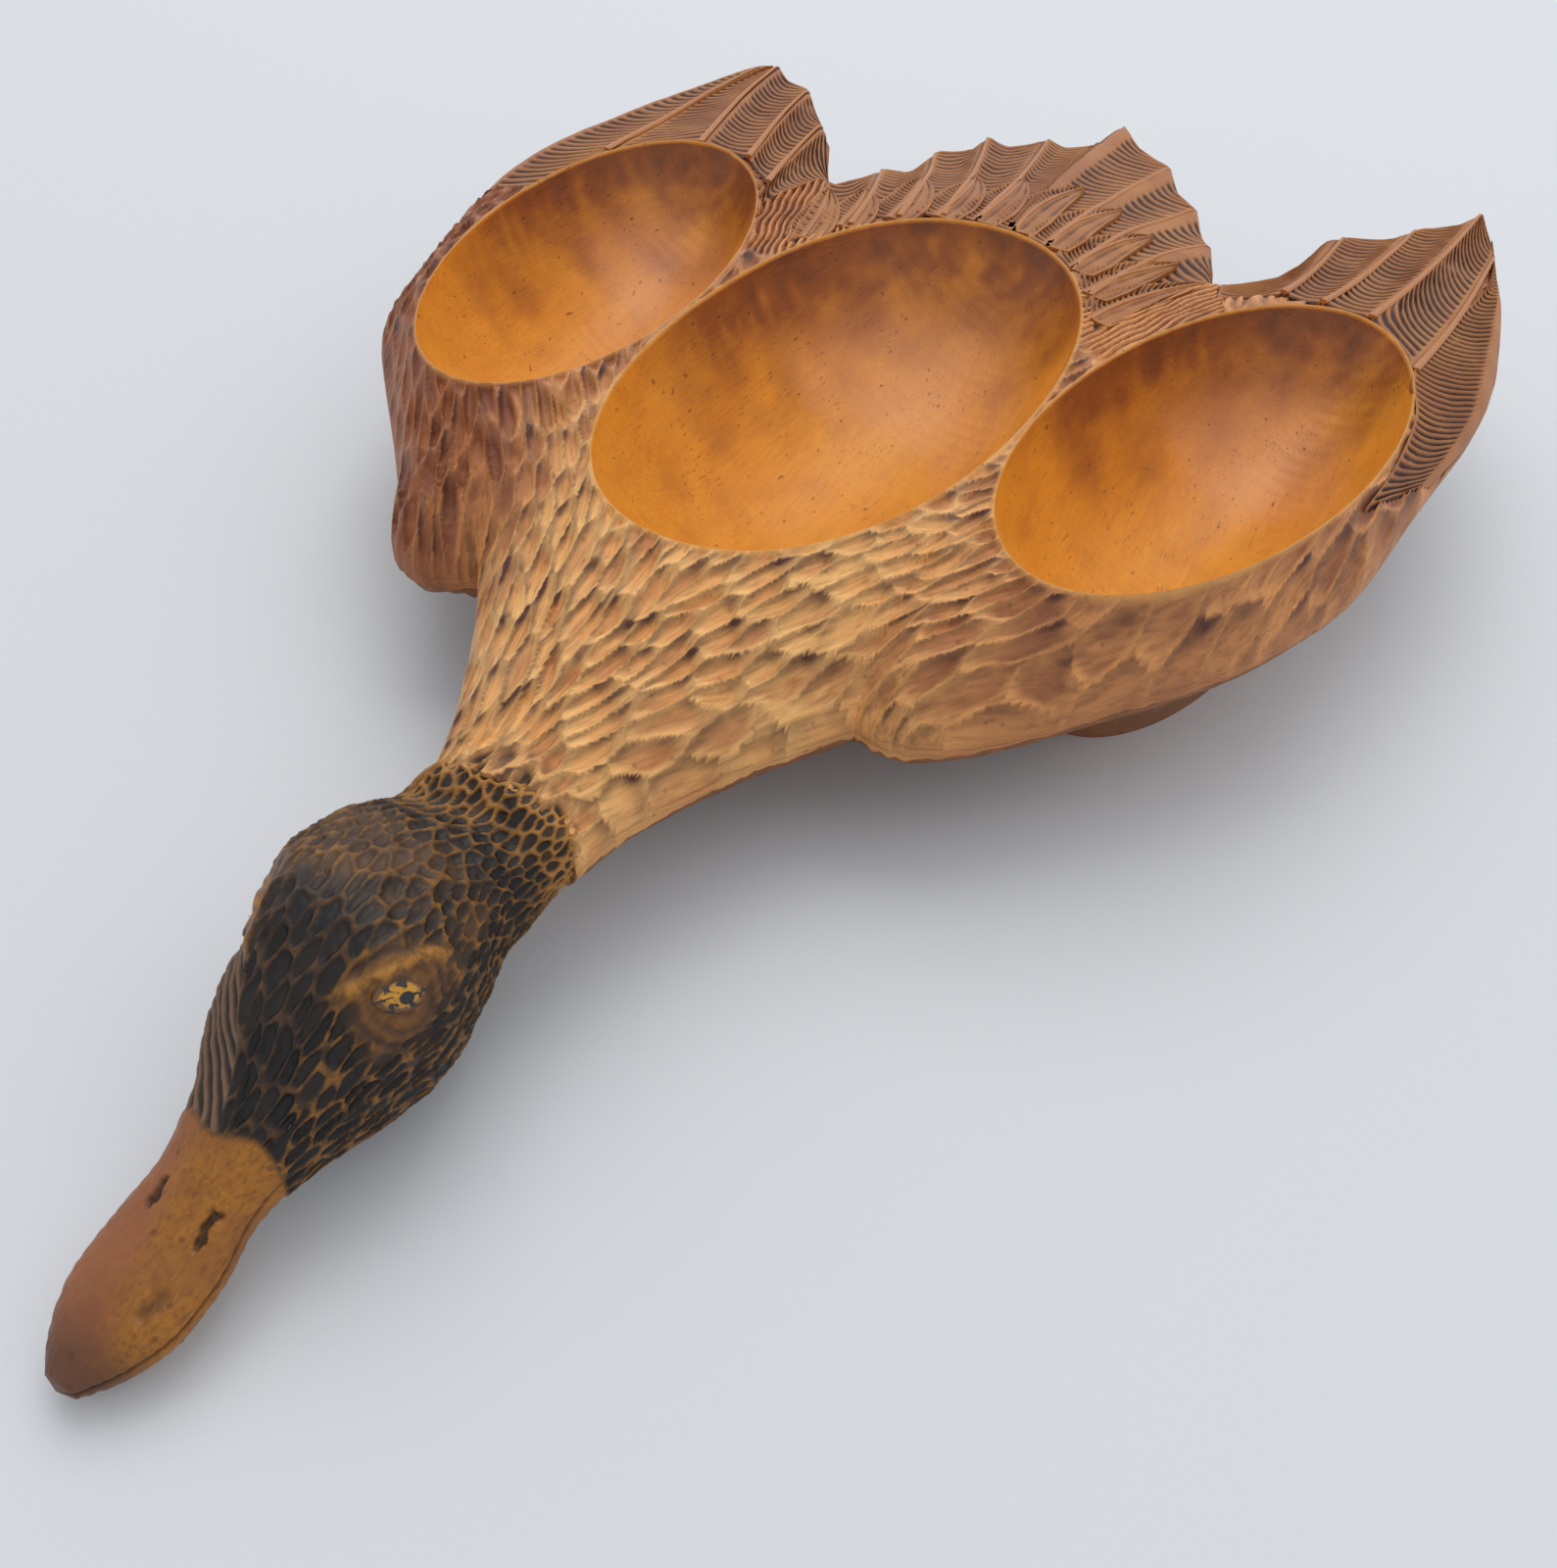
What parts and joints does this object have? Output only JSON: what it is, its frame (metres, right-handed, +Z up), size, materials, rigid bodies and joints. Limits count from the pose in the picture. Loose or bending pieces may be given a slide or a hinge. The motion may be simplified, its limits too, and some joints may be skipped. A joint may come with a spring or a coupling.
{
  "type": "duck-shaped serving tray",
  "caption": "Carved wooden serving tray shaped as a flying duck, with a dished bowl in the body and in each wing, a feathered tail and a stained head.",
  "frame": {"origin": "middle of the tray's bounding box in plan, on the table under the flat undersides of the bowls", "axes": "+Y along the duck from bill to tail, +X to the right as seen from in front of the bill, where the right_wing node is, +Z up out of the bowls"},
  "size_m": [0.3462, 0.5842, 0.074],
  "materials": {
    "carved_wood": "satin, honey brown, oiled in the bowls and carved outside them",
    "stained_wood": "dark stained carved feathers with an ochre bill",
    "dowel_wood": "bare turned wood, hidden in the neck"
  },
  "bodies": {
    "root": {"body_block": "carved_wood", "left_wing": "carved_wood", "right_wing": "carved_wood", "head_block": "stained_wood", "left_dowel": "dowel_wood", "right_dowel": "dowel_wood"}
  },
  "joints": []
}
